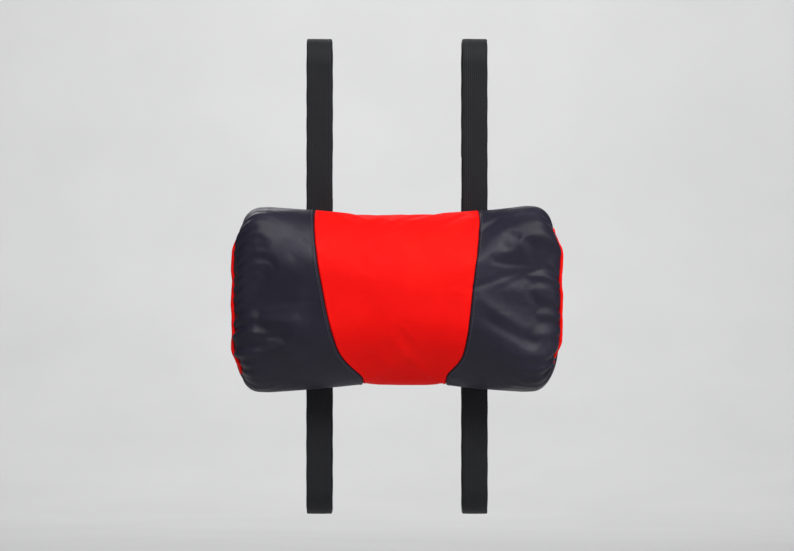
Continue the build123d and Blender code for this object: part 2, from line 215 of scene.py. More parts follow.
def thread_mat(name, lo, hi):
    k = N(name)
    k.link(k.ramp(k.noise(1800.0, 2.0), [(0.3, lo), (0.7, hi)]), k.b.inputs["Base Color"])
    k.link(k.bump(k.noise(3000.0, 2.0, 0.5, (1, 1, 0.3)), 0.5, 0.0001), k.b.inputs["Normal"])
    k.set(Roughness=0.5, Sheen_Weight=0.2)
    return k.m


M_PLASTIC = plastic("buckle_plastic", (0.0125, 0.0125, 0.014), 0.36)
M_COIL = plastic("zipper_coil", (0.016, 0.016, 0.018), 0.28)
M_METAL = enamel()
M_THREAD = thread_mat("thread_dark", (0.018, 0.018, 0.027), (0.040, 0.040, 0.056))
M_THREAD_RED = thread_mat("thread_red", (0.62, 0.010, 0.008), (0.85, 0.02, 0.012))
M_LINER = liner_mat()
M_FIBRE = fibre_mat()


# =====================================================================================================
# mesh helpers
# =====================================================================================================
def make(name, verts, faces, mat, body, slot, smooth=True):
    me = bpy.data.meshes.new(name)
    me.from_pydata([tuple(map(float, v)) for v in verts], [], faces)
    me.validate()
    bm = bmesh.new()
    bm.from_mesh(me)
    bmesh.ops.remove_doubles(bm, verts=bm.verts, dist=1e-6)
    bmesh.ops.recalc_face_normals(bm, faces=bm.faces)
    bm.to_mesh(me)
    bm.free()
    if smooth:
        me.polygons.foreach_set("use_smooth", [True] * len(me.polygons))
    o = bpy.data.objects.new(name, me)
    scene.collection.objects.link(o)
    me.materials.append(mat)
    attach(o, body)
    return o


def grid_faces(nu, nv, start=0, wrap=False):
    return [(start + i * nv + j, start + (i + 1) * nv + j, start + (i + 1) * nv + (j + 1) % nv, start + i * nv + (j + 1) % nv)
            for i in range(nu - 1) for j in range(nv if wrap else nv - 1)]


def resample(p, n, at=None):
    p = np.asarray(p, float)
    s = np.r_[0, np.cumsum(np.linalg.norm(np.diff(p, axis=0), axis=1))]
    keep = np.r_[True, np.diff(s) > 1e-9]
    p, s = p[keep], s[keep]
    t = np.linspace(0, s[-1], n) if at is None else at * s[-1]
    return np.stack([np.interp(t, s, p[:, i]) for i in range(p.shape[1])], 1)


def tube(points, radius, sides=8, closed=False, squash=(1, 1)):
    """Vertices and faces of a tube along points, with rounded-off ends when open."""
    p = np.asarray(points, float)
    n = len(p)
    t = (np.roll(p, -1, 0) - np.roll(p, 1, 0)) if closed else np.gradient(p, axis=0)
    t /= np.linalg.norm(t, axis=1, keepdims=True) + 1e-12
    up = np.array([0.0, 0, 1]) if abs(t[0, 2]) < 0.9 else np.array([1.0, 0, 0])
    verts, a = [], np.cross(t[0], up)
    a /= np.linalg.norm(a)
    rad = np.broadcast_to(radius, (n,))
    for i in range(n):
        a = a - t[i] * (a @ t[i])
        a /= np.linalg.norm(a) + 1e-12
        b = np.cross(t[i], a)
        r = rad[i]
        for k in range(sides):
            w = 2 * math.pi * k / sides
            verts.append(p[i] + r * (squash[0] * math.cos(w) * a + squash[1] * math.sin(w) * b))
    faces = grid_faces(n, sides, 0, True)
    if closed:
        # ends may be turned against each other, so the last ring is joined to the nearest corner of the first
        last, first = np.array(verts[-sides:]), np.array(verts[:sides])
        off = int(np.argmin([np.linalg.norm(last - np.roll(first, -k, 0), axis=1).sum() for k in range(sides)]))
        faces += [((n - 1) * sides + k, (k + off) % sides, (k + 1 + off) % sides, (n - 1) * sides + (k + 1) % sides) for k in range(sides)]
    else:
        verts += [p[0] - t[0] * rad[0] * 0.5, p[-1] + t[-1] * rad[-1] * 0.5]
        faces += [((k + 1) % sides, k, n * sides) for k in range(sides)]
        faces += [((n - 1) * sides + k, (n - 1) * sides + (k + 1) % sides, n * sides + 1) for k in range(sides)]
    return verts, faces


def merge(parts):
    V, F, o = [], [], 0
    for v, f in parts:
        V += list(v)
        F += [tuple(i + o for i in q) for q in f]
        o += len(v)
    return V, F


def stitches(path, normal, pitch=0.0030, length=0.0021, r=0.00032, lift=0.00012):
    """Short raised thread capsules along a path. normal is one vector, or one per path point."""
    p = np.asarray(path, float)
    s = np.r_[0, np.cumsum(np.linalg.norm(np.diff(p, axis=0), axis=1))]
    nn = np.broadcast_to(np.asarray(normal, float), p.shape)
    out = []
    for c in np.arange(pitch / 2, s[-1], pitch):
        q = []
        for f, h in ((-0.5, -0.6), (-0.32, 0.35), (0.0, 0.7), (0.32, 0.35), (0.5, -0.6)):
            at = c + f * length
            pt = np.array([np.interp(at, s, p[:, i]) for i in range(3)])
            nv = np.array([np.interp(at, s, nn[:, i]) for i in range(3)])
            q.append(pt + nv * (h * r + lift))
        out.append(tube(q, [r * 0.7, r, r, r, r * 0.7], 6))
    return out


# =====================================================================================================
# the cushion: one grid of fabric, gathered at both ends, blown up by cloth simulation
# =====================================================================================================
HX, END_Z, MID_Z, DEPTH = 0.1595, 0.0915, 0.0800, 0.0875
RF, RB = 0.036, 0.015
CAP_Y, CAP_D, CAP_R = -0.044, 0.054, 0.024
CAP_Z = {-1: (-0.073, 0.070), 1: (-0.062, 0.070)}      # lowest and highest point of each end panel
NB, NF = 36, 148
NR = NB + NF
NS, NC, NEND = 36, 40, 18
END_IN = 0.138
SEAM_L = [(0.0925, -0.0835), (0.0845, -0.0831), (0.0588, -0.0819), (0.0342, -0.0790), (0.0098, -0.0745), (-0.0148, -0.0700), (-0.0368, -0.0646),
          (-0.0564, -0.0588), (-0.0662, -0.0534), (-0.0749, -0.0460), (-0.0798, -0.0386), (-0.0815, -0.0324)]
SEAM_R = [(0.0925, 0.0830), (0.0855, 0.0828), (0.0566, 0.0803), (0.0324, 0.0783), (0.0083, 0.0754), (-0.0159, 0.0729), (-0.0376, 0.0704),
          (-0.0593, 0.0666), (-0.0690, 0.0630), (-0.0750, 0.0580), (-0.0792, 0.0531), (-0.0810, 0.0481)]


def smooth_table(tab, z):
    a = np.array(tab)[::-1]
    fine = np.linspace(a[0, 0], a[-1, 0], 400)
    v = np.interp(fine, a[:, 0], a[:, 1])
    k = np.ones(9) / 9
    v = np.convolve(np.pad(v, 4, mode="edge"), k, mode="valid")
    x = np.full(len(z), 0.06)
    for _ in range(12):          # the waist draws the rows in where the seam is
        x = np.interp(z * waist(x) / END_Z * SEAM_FIT, fine, v)
    front = x[:NF + 1].copy()
    # the seam runs on under the cushion, turning back along it
    low = np.flatnonzero(np.abs(np.diff(front)) > 2e-5)[-1] + 1
    front[low:] = front[low] + (front[low] - front[low - 3]) / 3 * 7 * (1 - np.exp(-np.arange(NF + 1 - low) / 7))
    w = np.exp(-0.5 * (np.arange(-9, 10) / 2.4) ** 2)
    x[:NF + 1] = np.convolve(np.pad(front, 9, mode="edge"), w / w.sum(), mode="valid")
    return x


def arc_points(rows):
    p = []
    for cy, cz, r, a0, a1 in rows:
        for i in range(25):
            a = a0 + (a1 - a0) * i / 24
            p.append((cy + r * math.cos(a), cz + r * math.sin(a)))
    return np.array(p)


def base_section():
    """The fabric's section near the ends: from the upper back seam over the top, down the front, under, and up the back."""
    q = math.pi / 2
    H = END_Z
    front = arc_points([(-RB, H - RB, RB, 0, q), (-DEPTH + RF, H - RF, RF, q, 2 * q),
                        (-DEPTH + RF, -H + RF, RF, 2 * q, 3 * q), (-RB, -H + RB, RB, 3 * q, 4 * q)])
    front = resample(front, NF + 1)
    back = np.c_[np.zeros(NB + 1), np.linspace(-H + RB, H - RB, NB + 1)]
    return np.vstack([front, back[1:-1]])


def cap_outline(full, side):
    """The ring that one end of the fabric is gathered onto: (x, y, z) for each row."""
    q = math.pi / 2
    z0, z1 = CAP_Z[side]
    mid, hy, hz, r = (z0 + z1) / 2, CAP_D / 2, (z1 - z0) / 2, CAP_R
    p = arc_points([(CAP_Y + hy - r, mid + hz - r, r, 0, q), (CAP_Y - hy + r, mid + hz - r, r, q, 2 * q),
                    (CAP_Y - hy + r, mid - hz + r, r, 2 * q, 3 * q), (CAP_Y + hy - r, mid - hz + r, r, 3 * q, 4 * q)])
    p = resample(np.vstack([p, p[:1]]), 4001)[:-1]
    ga = np.arctan2((p[:, 1] - mid) / hz, (p[:, 0] - CAP_Y) / hy)
    f = (full - np.array([-DEPTH / 2, 0])) / np.array([DEPTH, 2 * END_Z])
    # where each row meets the ring, as a share of its length: half by direction, half evenly spaced
    at = np.array([np.argmin(np.abs(np.angle(np.exp(1j * (ga - a))))) for a in np.arctan2(f[:, 1], f[:, 0])]) / 4000
    at = np.unwrap(at * 2 * math.pi) / (2 * math.pi)
    even = at[0] + np.sign(at[NR // 2] - at[0]) * np.arange(NR) / NR
    w = np.exp(-0.5 * (np.arange(-12, 13) / 5.0) ** 2)
    drift = np.convolve(np.pad(at - even, 12, mode="wrap"), w / w.sum(), mode="valid")
    at = np.mod(even + 0.5 * drift, 1) * 4000
    loop = np.vstack([p, p[:1]])
    out = np.stack([np.interp(at, np.arange(4001), loop[:, k]) for k in (0, 1)], 1)
    t = np.clip((np.abs(out[:, 1] - mid) / hz - 0.66) / 0.3, 0, 1)
    turn = np.linspace(0, 2 * math.pi, NR, endpoint=False)
    wob = sum(rng.normal() * np.sin(k * turn + rng.uniform(0, 6.28)) for k in range(5, 14)) / 3.0
    return np.c_[side * (0.1629 - 0.0074 * t * t * (3 - 2 * t) + 0.0005 * wob), out]


BASE = base_section()
RING = {side: cap_outline(BASE, side) for side in (-1, 1)}
SEAM_FIT = 1.03
waist = lambda x: MID_Z + (END_Z - MID_Z) * np.minimum(1, np.abs(x) / 0.130) ** 2


def place(X, shrink=0.0, ring=None):
    X = np.broadcast_to(X, (NR,)).astype(float)
    cap = ring[:, 1:] if ring is not None else BASE
    out = np.zeros((NR, 3))
    out[:, 0] = X
    out[:, 1] = BASE[:, 0] * (1 - shrink) + cap[:, 0] * shrink
    out[:, 2] = BASE[:, 1] * (waist(X) / END_Z) * (1 - shrink) + cap[:, 1] * shrink
    return out


XL, XR = smooth_table(SEAM_L, BASE[:, 1]), smooth_table(SEAM_R, BASE[:, 1])


def side_columns(sign, seam):
    out, nbody = [], NS - NEND          # from the front seam to the end ring
    for i in range(1, nbody + 1):
        f = i / nbody
        out.append((place(seam * (1 - f) + sign * END_IN * f), 0.0))
    for i in range(1, NEND + 1):
        a = i / NEND * math.pi / 2
        s = 1 - math.cos(a)
        out.append((place(sign * END_IN + (RING[sign][:, 0] - sign * END_IN) * math.sin(a), s, RING[sign]), s))
    return out


columns = side_columns(-1, XL)[::-1] + [(place(XL * (1 - i / NC) + XR * i / NC), 0.0) for i in range(NC + 1)] + side_columns(1, XR)
C = len(columns)
G0 = np.array([c[0] for c in columns])
SHR = np.array([c[1] for c in columns])


def normals_of(G):
    gx = np.gradient(G, axis=0)
    gr = np.roll(G, -1, axis=1) - np.roll(G, 1, axis=1)
    n = np.cross(gx, gr)
    n /= np.linalg.norm(n, axis=2, keepdims=True) + 1e-12
    c = G - np.array([0, -DEPTH / 2, 0])
    c[:, :, 0] = 0
    return -n if (n * c).sum() < 0 else n


def blow_up(G):
    """Cloth pressure on the whole skin. The back and the end rings are pinned, and the end fabric is cut fuller than the ring it's gathered onto."""
    base_circ = np.linalg.norm(np.diff(np.vstack([BASE, BASE[:1]]), axis=0), axis=1).sum()
    along = np.zeros((C, NR))
    along[1:] = np.cumsum(np.linalg.norm(np.diff(G, axis=0), axis=2), axis=0)
    along += G[C // 2, :, 0] - along[C // 2]
    R = G.copy()
    for j in range(C):
        x = along[j]
        R[j, :, 0] = x
        s = SHR[j]
        if s > 0:
            circ = np.linalg.norm(np.diff(np.vstack([G[j], G[j][:1]]), axis=0), axis=1).sum()
            k = circ * (1 + 0.30 * s ** 0.7) / base_circ
            R[j, :, 1] = (BASE[:, 0] + DEPTH / 2) * k - DEPTH / 2
            R[j, :, 2] = BASE[:, 1] * k
        # the dark sides are a little slack, the middle is cut close
        mid = np.clip((0.100 - abs(j - (C - 1) / 2) / ((C - 1) / 2) * 0.16) / 0.03, 0, 1)
        R[j, :, 1:] *= 1.020 - 0.040 * mid
    start = G.copy()
    n = normals_of(G)
    turn = np.linspace(0, 2 * math.pi, NR, endpoint=False)
    for which in (0, 1):
        wave = np.zeros(NR)
        for f in range(15, 40):
            wave += rng.normal() * np.sin(f * turn + rng.uniform(0, 6.28))
        wave *= 0.0012 / 5
        drift = np.zeros(NR)
        for f in range(3, 9):
            drift += rng.normal() * np.sin(f * turn + rng.uniform(0, 6.28))
        drift *= 0.0006
        for j in range(C):
            e = ((NS - j) if which == 0 else (j - (C - 1 - NS))) / NS
            if e <= 0:
                continue
            ramp = np.clip((e - 0.30) / 0.5, 0, 1) * np.clip((1 - e) / 0.05, 0, 1)
            free = np.ones(NR)
            free[NF:] = 0
            free[:3] = 0
            free[NF - 3:NF] = 0
            start[j] += n[j] * ((wave * ramp + drift * np.sin(math.pi * min(1, e))) * free)[:, None]
    me = bpy.data.meshes.new("skin_sim")
    at = lambda j, r: j * NR + r % NR
    faces = [(at(j, r), at(j + 1, r), at(j + 1, r + 1), at(j, r + 1)) for j in range(C - 1) for r in range(NR)]
    verts = start.reshape(-1, 3).tolist() + [start[0].mean(0).tolist(), start[-1].mean(0).tolist()]
    nv = len(verts)
    for j, c in ((0, nv - 2), (C - 1, nv - 1)):
        faces += [(at(j, r), at(j, r + 1), c) if j else (at(j, r + 1), at(j, r), c) for r in range(NR)]
    me.from_pydata(verts, [], faces)
    bm = bmesh.new()
    bm.from_mesh(me)
    bmesh.ops.recalc_face_normals(bm, faces=bm.faces)
    bm.to_mesh(me)
    bm.free()
    ob = bpy.data.objects.new("skin_sim", me)
    scene.collection.objects.link(ob)
    ob.shape_key_add(name="Basis")
    cut = ob.shape_key_add(name="cut")
    rest = np.vstack([R.reshape(-1, 3), R[0].mean(0)[None], R[-1].mean(0)[None]])
    cut.data.foreach_set("co", rest.astype(np.float32).ravel())
    cut.value = 0
    pin = ob.vertex_groups.new(name="pin")
    pin.add([at(j, r) for j in range(C) for r in range(NR) if r >= NF or r == 0 or j in (0, C - 1)] + [nv - 2, nv - 1], 1.0, "REPLACE")
    mod = ob.modifiers.new("Cloth", "CLOTH")
    s = mod.settings
    s.mass, s.quality = 0.15, 6
    s.tension_stiffness = s.compression_stiffness = 18
    s.shear_stiffness = 6
    s.bending_stiffness = 0.6
    s.tension_damping = s.compression_damping = s.shear_damping = 6
    s.bending_damping, s.air_damping = 0.6, 1.5
    s.vertex_group_mass = "pin"
    s.rest_shape_key = cut
    s.use_pressure, s.uniform_pressure_force = True, 4.0
    s.effector_weights.gravity = 0
    mod.collision_settings.use_collision = False
    mod.collision_settings.use_self_collision = False
    last = 26
    scene.frame_start, scene.frame_end = 1, last
    mod.point_cache.frame_start, mod.point_cache.frame_end = 1, last
    for f in range(1, last + 1):
        scene.frame_set(f)
    ev = ob.evaluated_get(bpy.context.evaluated_depsgraph_get())
    co = np.zeros(nv * 3)
    ev.data.vertices.foreach_get("co", co)
    out = co.reshape(-1, 3)[:C * NR].reshape(C, NR, 3)
    bpy.data.objects.remove(ob, do_unlink=True)
    bpy.data.meshes.remove(me)
    scene.frame_set(1)
    # no point may move further than this
    d = out - G
    far = np.linalg.norm(d, axis=2, keepdims=True)
    return G + d * np.minimum(1, 0.016 / np.maximum(far, 1e-9))


SKIN = blow_up(G0)
SN = normals_of(SKIN)


def sculpt(G, n):
    """Creases that the gathered fabric holds: soft ridges and valleys along lines on the front."""
    out = G.copy()
    lines = [  # x0, z0, x1, z1, width, height in mm
        (78, 2, 138, -34, 7, 2.0), (84, -14, 142, -46, 6, -1.4), (92, 20, 150, 4, 7, 1.0), (100, -52, 150, -58, 6, 1.6), (120, 58, 150, 40, 6, 1.0),
        (-138, -22, -96, -20, 7, 1.7), (-142, -34, -104, -36, 6, -1.3), (-146, 22, -104, 40, 8, 1.2), (-140, 52, -100, 66, 7, -1.0), (-92, -58, -134, -52, 7, 0.9)]
    x, z = G[:, :, 0] / MM, G[:, :, 2] / MM
    front = np.clip((-G[:, :, 1] - 0.045) / 0.02, 0, 1)
    for x0, z0, x1, z1, w, h in lines:
        d = np.array([x1 - x0, z1 - z0], float)
        L = np.linalg.norm(d)
        d /= L
        u = (x - x0) * d[0] + (z - z0) * d[1]
        v = -(x - x0) * d[1] + (z - z0) * d[0] + 3.0 * np.sin(u / L * 3.1)
        out += n * (np.exp(-(v / w) ** 2) * np.clip(u / L, 0, 1) ** 0.5 * np.clip(1 - u / L, 0, 1) ** 0.5 * 2 * h * MM * front)[:, :, None]
    return out


SKIN = sculpt(SKIN, SN)
# the fabric dips where a strap is drawn over the back edge
edge_rows = np.minimum(np.arange(NR), np.abs(np.arange(NR) - NF))[None, :] <= 8
under_strap = (np.abs(np.abs(SKIN[:, :, 0]) - 0.0794) < 0.0150) & edge_rows & (np.arange(NR)[None, :] <= NF)
SKIN[:, :, 1] = np.where(under_strap, np.minimum(SKIN[:, :, 1], -0.0021), SKIN[:, :, 1])
SN = normals_of(SKIN)


def strip(j0, j1, r0, r1, groove=()):
    """Columns j0..j1 and rows r0..r1 of the skin, with a fine turned-in edge at each column in groove."""
    cols, nrm = [SKIN[j, r0:r1 + 1] for j in range(j0, j1 + 1)], [SN[j, r0:r1 + 1] for j in range(j0, j1 + 1)]
    out, nn = list(cols), list(nrm)
    for end in groove:
        a, b = (0, 1) if end == "first" else (-1, -2)
        n = nn[a]
        step = out[b] - out[a]
        ln = np.linalg.norm(step, axis=1, keepdims=True)
        extra = [out[a] + step / ln * 0.0007 + n * -0.00010, out[a] + step / ln * 0.0017 + n * 0.00035]
        low = out[a] - n * 0.0016
        if end == "first":
            out = [low] + extra + out[1:]
            nn = [n, n, n] + nn[1:]
        else:
            out = out[:-1] + extra[::-1] + [low]
            nn = nn[:-1] + [n, n, n]
    return np.array(out)


def cloth_piece(name, G, mat, node, slot, thick=0.0013, sub=1):
    nu, nv = G.shape[:2]
    o = make(name, G.reshape(-1, 3), grid_faces(nu, nv), mat, "cushion", slot)
    # outward normals, whichever way the grid runs
    me = o.data
    c = Vector((0, -DEPTH / 2, 0))
    out = sum(p.normal.dot(Vector((0, p.center.y - c.y, p.center.z))) for p in me.polygons)
    if out < 0:
        me.flip_normals()
    if sub:
        m = o.modifiers.new("Smooth", "SUBSURF")
        m.levels = m.render_levels = sub
        m.boundary_smooth = "PRESERVE_CORNERS"
    m = o.modifiers.new("Thickness", "SOLIDIFY")
    m.thickness, m.offset = thick, -1
    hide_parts(node)
    return o


JL, JR = NS, NS + NC
cloth_piece("cover_front_left_cloth", strip(0, JL, 0, NF, ("last",)), M_DARK, "cover_front_left", "side_fabric")
cloth_piece("cover_front_centre_cloth", strip(JL, JR, 0, NF, ("first", "last")), M_RED, "cover_front_centre", "centre_fabric")
cloth_piece("cover_front_right_cloth", strip(JR, C - 1, 0, NF, ("first",)), M_DARK, "cover_front_right", "side_fabric")

# ---------------------------------------------------------------- back cover, two halves with the zipper's slot between them
ZIP_Z, ZIP_GAP, ZIP_HALF = -0.034, 0.0052, 0.124
STRAP_X, STRAP_W, STRAP_T, ANCHOR = 0.0794, 0.0254, 0.0015, 0.050


def back_panel(name, node, upper):
    xs = np.concatenate([SKIN[:, NF + NB // 2, 0]])
    rows = []
    cols = []
    nz = 26
    fine = sorted(set(np.round(np.concatenate([SKIN[:, 0, 0], np.array([s * STRAP_X + e for s in (-1, 1) for e in (-0.0143, -0.0129, -0.0115, 0.0115, 0.0129, 0.0143)]),
                                               np.array([-0.1245, -0.1235, 0.1235, 0.1245])]), 6)))
    col_x = SKIN[:, 0, 0]
    for X in fine:
        j = int(np.clip(np.searchsorted(col_x, X), 1, C - 1))
        f = float(np.clip((X - col_x[j - 1]) / max(col_x[j] - col_x[j - 1], 1e-9), 0, 1))
        line = [SKIN[j - 1, r % NR] * (1 - f) + SKIN[j, r % NR] * f for r in range(NF, NR + 1)]
        line = np.array(line)                      # from the lower back seam up to the upper one
        line = line[np.argsort(line[:, 2])]
        gap = ZIP_GAP * np.clip((ZIP_HALF + 0.0006 - abs(X)) / 0.0012, 0, 1)
        lo, hi = line[0, 2], line[-1, 2]
        zs = np.linspace(ZIP_Z + gap, hi, nz) if upper else np.linspace(lo, ZIP_Z - gap, nz // 2)
        # rows just outside the strap ends
        k = np.abs(zs - (ANCHOR if upper else -ANCHOR)).argmin()
        zs[k] = (ANCHOR - 0.0012) if upper else -(ANCHOR - 0.0012)
        col = np.c_[np.interp(zs, line[:, 2], line[:, 0]), np.interp(zs, line[:, 2], line[:, 1]), zs]
        # pressed in under the strap ends
        under = (abs(abs(X) - STRAP_X) < STRAP_W / 2 + 0.0006)
        if under:
            deep = (zs > ANCHOR - 0.0006) if upper else (zs < -ANCHOR + 0.0006)
            col[:, 1] -= deep * (STRAP_T + 0.0002)
        # turned-in edge along the zipper
        edge = 0 if upper else -1
        col[edge, 1] -= 0.0009 * np.clip((ZIP_HALF + 0.004 - abs(X)) / 0.004, 0, 1)
        cols.append(col)
    G = np.array(cols)
    o = make(name, G.reshape(-1, 3), grid_faces(*G.shape[:2]), M_BACK, "cushion", "back_fabric")
    if sum(p.normal.y for p in o.data.polygons) < 0:
        o.data.flip_normals()
    m = o.modifiers.new("Thickness", "SOLIDIFY")
    m.thickness, m.offset = 0.0011, -1
    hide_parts(node)
    return o, G


back_up, GU = back_panel("cover_back_upper_cloth", "cover_back_upper", True)
back_lo, GL = back_panel("cover_back_lower_cloth", "cover_back_lower", False)

# welted seam where the back joins the front
parts = []
for r in (0, NF):
    line = resample(SKIN[:, r] + SN[:, r] * 0.0002, 700)
    clear = np.abs(np.abs(line[:, 0]) - 0.0794) > 0.0137
    cuts = np.flatnonzero(np.diff(clear.astype(int))) + 1
    for run, keep in zip(np.split(line, cuts), np.split(clear, cuts)):
        if keep[0]:
            parts.append(tube(run, 0.0009, 7))
welt = make("back_seam_welt", *merge(parts), M_BACK, "cushion", "back_fabric")
# fine stitches either side of the two front seams, and beside the zipper
parts = []
for j, step in ((JL, -1), (JR, 1)):
    a, b = SKIN[j, 2:NF - 1], SKIN[j + step, 2:NF - 1]
    d = (b - a) / np.linalg.norm(b - a, axis=1, keepdims=True)
    parts += stitches(a + d * 0.0029, SN[j, 2:NF - 1], 0.0033, 0.0024, 0.00026, 0.00030)
make("front_seam_stitching", *merge(parts), M_THREAD, "cushion", "side_fabric")
parts = []
for G, row, dz in ((GU, 0, 0.0026), (GL, -1, -0.0026)):
    keep = np.abs(G[:, row, 0]) < ZIP_HALF
    line = G[keep, row].copy()
    line[:, 2] += dz
    line[:, 1] = 0.0
    parts += stitches(line, (0, 1, 0), 0.0032, 0.0024, 0.00026, 0.0001)
make("zipper_stitching", *merge(parts), M_THREAD, "cushion", "back_fabric")

# ---------------------------------------------------------------- end panels and piping
for word, j, sign in (("left", 0, -1), ("right", C - 1, 1)):
    ring = SKIN[j].copy()
    mid, hz = sum(CAP_Z[sign]) / 2, (CAP_Z[sign][1] - CAP_Z[sign][0]) / 2
    turn = np.linspace(0, 2 * math.pi, NR, endpoint=False)
    puck = sum(rng.normal() * np.sin(f * turn + rng.uniform(0, 6.28)) for f in range(16, 34)) / 4.2
    core = np.c_[np.full(NR, sign * 0.1607), np.full(NR, CAP_Y), np.clip(ring[:, 2], mid - hz + 0.026, mid + hz - 0.026)]
    rings = []
    K = 16
    for k in range(K + 1):
        f = k / K
        p = ring * (1 - f) + core * f
        flat = (1 - f) ** 2.2
        p[:, 0] = ring[:, 0] * flat + sign * 0.1607 * (1 - flat)
        rise = 0.0040 * math.sin(min(1, f * 1.25) * math.pi / 2) ** 0.6
        p[:, 0] += sign * (rise + puck * 0.00045 * math.exp(-((f - 0.14) / 0.14) ** 2))
        rings.append(p)
    G = np.array(rings)
    o = make("end_panel_%s_cloth" % word, G.reshape(-1, 3), grid_faces(K + 1, NR, 0, True), M_RED, "cushion", "centre_fabric")
    if sign * sum(p.normal.x * p.area for p in o.data.polygons) < 0:
        o.data.flip_normals()
    m = o.modifiers.new("Smooth", "SUBSURF")
    m.levels = m.render_levels = 1
    m = o.modifiers.new("Thickness", "SOLIDIFY")
    m.thickness, m.offset = 0.0012, -1
    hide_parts("end_panel_" + word)
    # piping: a fabric-covered cord sewn between the gathers and the end panel
    centre = ring.mean(0)
    outward = ring - np.array([0, CAP_Y, mid]) * 1.0
    outward[:, 0] = 0
    outward /= np.linalg.norm(outward, axis=1, keepdims=True)
    wob = sum(rng.normal() * np.sin(f * turn + rng.uniform(0, 6.28)) for f in range(9, 26)) / 4.0
    path = ring + outward * (0.0004 + 0.00012 * wob)[:, None]
    path[:, 0] += sign * (0.0009 + 0.00018 * np.roll(wob, 9))
    o = make("end_piping_%s_cord" % word, *tube(resample(np.vstack([path, path[:1]]), 421)[:-1], 0.0017, 12, closed=True), M_RED, "cushion", "centre_fabric")
    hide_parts("end_piping_" + word)
    # stitched down just inside the piping
    line = resample(np.vstack([G[2], G[2][:1]]), 500)
    line[:, 0] += sign * 0.0001
    make("end_panel_%s_stitching" % word, *merge(stitches(line, (sign, 0, 0), 0.0034, 0.0024, 0.00024, 0.0)), M_THREAD_RED, "cushion", "centre_fabric")

# ---------------------------------------------------------------- liner and filling, inside
def inside(name, node, mat, slot, inset, back_y, shell):
    G = SKIN - SN * inset
    G[:, NF:, 1] = np.minimum(G[:, NF:, 1], back_y)
    G[:, :, 1] = np.minimum(G[:, :, 1], back_y)
    G[:, :, 0] = np.clip(G[:, :, 0], -(HX - inset * 0.6), HX - inset * 0.6)
    verts = list(G.reshape(-1, 3)) + [G[0].mean(0), G[-1].mean(0)]
    n = len(verts)
    faces = grid_faces(C, NR, 0, True)
    faces += [((r + 1) % NR, r, n - 2) for r in range(NR)] + [((C - 1) * NR + r, (C - 1) * NR + (r + 1) % NR, n - 1) for r in range(NR)]
    o = make(name, verts, faces, mat, "cushion", slot)
    if shell:
        m = o.modifiers.new("Thickness", "SOLIDIFY")
        m.thickness, m.offset = 0.0006, -1
    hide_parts(node)
    return o


inside("inner_liner_bag", "inner_liner", M_LINER, "liner", 0.0034, -0.0062, True)
inside("fibre_filling", "fibre_fill", M_FIBRE, "filling", 0.0052, -0.0080, False)

# ---------------------------------------------------------------- zipper: a continuous coil on each tape
parts = []
tape_top = -0.0014
for s in (1, -1):
    pts = []
    turns = int(0.240 / 0.0016)
    for i in range(turns * 8 + 1):
        a = i / 8 * 2 * math.pi
        x = -0.120 + i / 8 * 0.0016 + (0.0008 if s > 0 else 0)
        pts.append((x, tape_top + 0.00062 + 0.00048 * math.sin(a), ZIP_Z + s * (0.00165 + 0.0016 * math.cos(a))))
    parts.append(tube(pts, 0.00030, 5))
coil = make("zipper_coil_rows", *merge(parts), M_COIL, "cushion", "zipper_coil")
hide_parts("zipper_chain")
for k, word in ((1, "upper"), (-1, "lower")):
    xs = np.linspace(-0.130, 0.130, 131)
    across = np.array([0.00035, 0.0006, 0.0034, 0.0037, 0.0042, 0.0075, 0.0110, 0.0138, 0.01435])
    G = np.array([[(X, tape_top - 0.00002 - (0.00010 if w > 0.0039 else 0) + 0.00005 * math.sin(X * 900 + w * 500), ZIP_Z + k * w) for w in across] for X in xs])
    o = make("zipper_tape_%s_woven" % word, G.reshape(-1, 3), grid_faces(*G.shape[:2]), M_TAPE, "cushion", "zipper_tape")
    if sum(p.normal.y for p in o.data.polygons) < 0:
        o.data.flip_normals()
    m = o.modifiers.new("Thickness", "SOLIDIFY")
    m.thickness, m.offset = 0.00055, -1
    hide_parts("zipper_tape_" + word)


# =====================================================================================================
# webbing
# =====================================================================================================
REST_Y, TOP_Z, BOT_Z, BEND_R = 0.0945, 0.2672, -0.2172, 0.027
BUCKLE_Z, GLIDE_Z, ELASTIC_TOP = 0.050, -0.075, 0.150
BAR_R = 0.0016
LOOP_R = BAR_R + 0.0001 + STRAP_T / 2
OUT_Y, IN_Y = REST_Y + LOOP_R, REST_Y - LOOP_R
PLUG_BAR_Z, SOCK_BAR_Z = BUCKLE_Z + 0.0175, BUCKLE_Z - 0.031


def route(points, radii, step=0.0022):
    """Middle line in the YZ plane: straights and arcs, as closely spaced points."""
    P = [np.array(p, float) for p in points]
    out, start = [], P[0]

    def line(a, b):
        n = max(1, int(np.linalg.norm(b - a) / step))
        for i in range(n):
            out.append(a + (b - a) * i / n)
    for i in range(1, len(P) - 1):
        a, b = P[i] - P[i - 1], P[i + 1] - P[i]
        a, b = a / np.linalg.norm(a), b / np.linalg.norm(b)
        turn = math.acos(float(np.clip(a @ b, -1, 1)))
        r = radii[i - 1]
        cut = r * math.tan(turn / 2)
        t0, t1 = P[i] - a * cut, P[i] + b * cut
        left = a[0] * b[1] - a[1] * b[0] > 0
        n = np.array([-a[1], a[0]]) if left else np.array([a[1], -a[0]])
        c = t0 + n * r
        line(start, t0)
        m = max(6, int(r * turn / step))
        for k in range(m):
            w = turn * k / m * (1 if left else -1)
            v = t0 - c
            out.append(c + np.array([v[0] * math.cos(w) - v[1] * math.sin(w), v[0] * math.sin(w) + v[1] * math.cos(w)]))
        start = t1
    line(start, P[-1])
    out.append(P[-1])
    return np.array(out)


